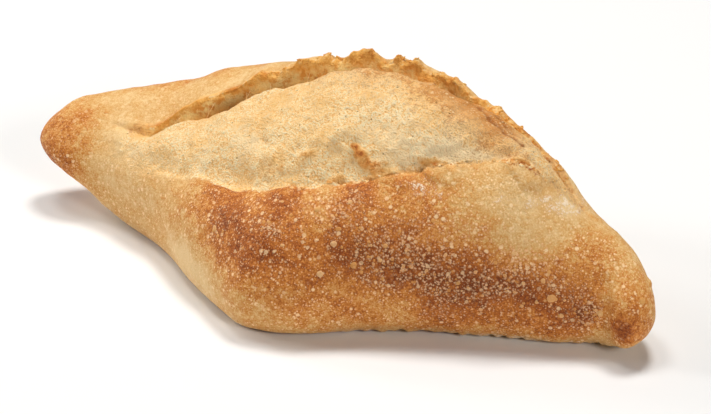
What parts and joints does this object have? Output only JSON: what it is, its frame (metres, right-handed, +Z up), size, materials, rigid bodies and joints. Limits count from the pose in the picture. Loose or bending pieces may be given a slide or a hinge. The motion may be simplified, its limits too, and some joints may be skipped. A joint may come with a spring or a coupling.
{
  "type": "bread roll",
  "caption": "Diamond-shaped country bread roll with two blunt noses, a torn ragged ear of crust along the top and a pale bulge of crumb beside it, flat underneath.",
  "frame": {"origin": "in the plane of the flat underside, under the middle of the roll's bounding box", "axes": "+X along the roll from the raised nose to the low nose, +Y away from the soft near lip and over the ear of crust, +Z up from the flat underside"},
  "size_m": [0.171, 0.0792, 0.0539],
  "materials": {
    "crust": "matte"
  },
  "bodies": {
    "root": {"bread_roll": "crust"}
  },
  "joints": []
}
